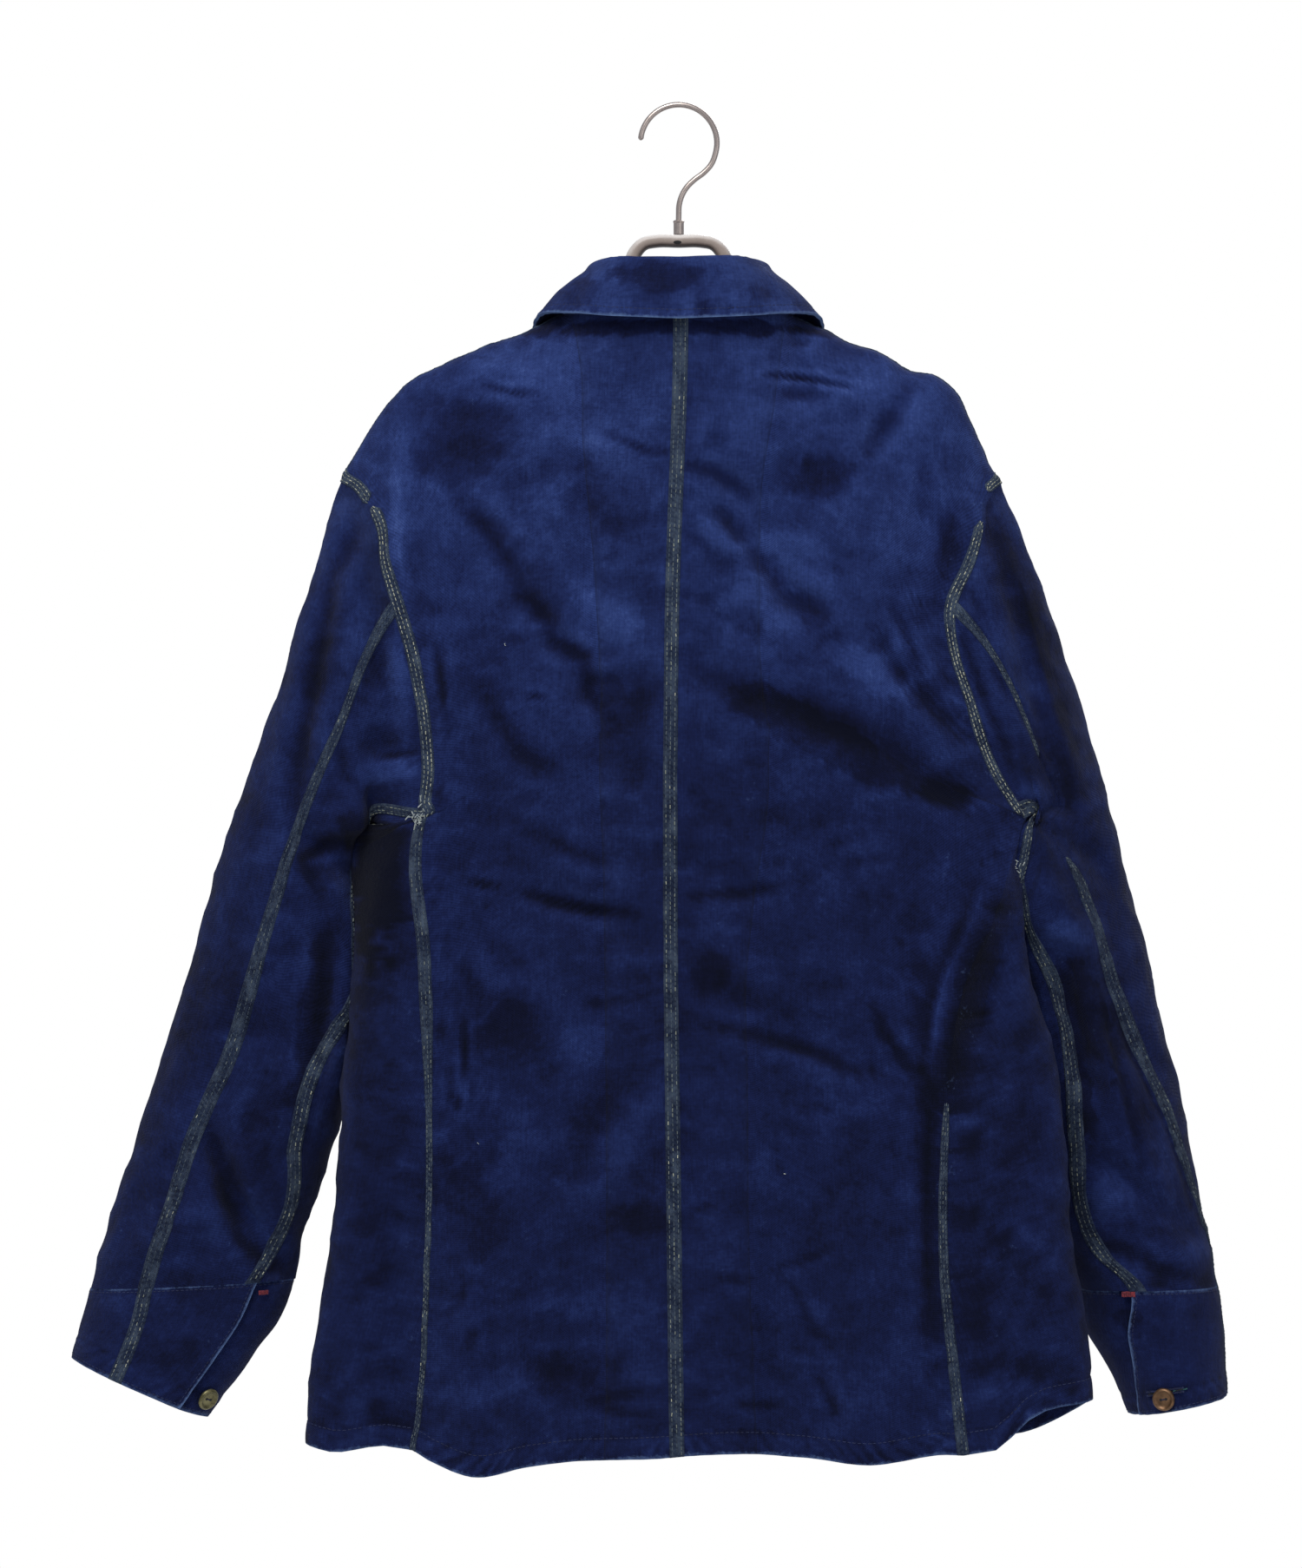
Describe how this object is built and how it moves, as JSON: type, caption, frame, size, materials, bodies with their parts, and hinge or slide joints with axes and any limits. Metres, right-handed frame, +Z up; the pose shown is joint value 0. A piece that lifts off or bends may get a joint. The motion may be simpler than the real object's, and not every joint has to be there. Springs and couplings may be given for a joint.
{
  "type": "indigo work jacket on a hanger",
  "caption": "Denim work jacket, faded indigo, hanging from a moulded hanger with a wire hook: set-in sleeves, turned-down collar, felled seams, one cuff buttoned and one open.",
  "frame": {"origin": "inner top of the hook, where a rail carries the hanger", "axes": "+Z up, +X towards the wearer's right, +Y out of the garment's front, -Y out of its back"},
  "size_m": [0.7214, 0.1484, 0.8467],
  "materials": {
    "denim": "faded indigo twill, pale along seams and edges",
    "button_metal": "dull worn",
    "hook_metal": "satin",
    "hanger_plastic": "smooth moulded"
  },
  "bodies": {
    "root": {"back_left": "denim", "back_right": "denim", "collar": "denim", "cuff_button_left": "button_metal", "cuff_button_right": "button_metal", "cuff_left": "denim", "cuff_right": "denim", "ferrule": "hook_metal", "front_button_1": "button_metal", "front_button_2": "button_metal", "front_button_3": "button_metal", "front_button_4": "button_metal", "front_button_5": "button_metal", "front_left": "denim", "front_right": "denim", "hanger_body": "hanger_plastic", "hook": "hook_metal", "sleeve_top_left": "denim", "sleeve_top_right": "denim", "sleeve_under_left": "denim", "sleeve_under_right": "denim"}
  },
  "joints": []
}
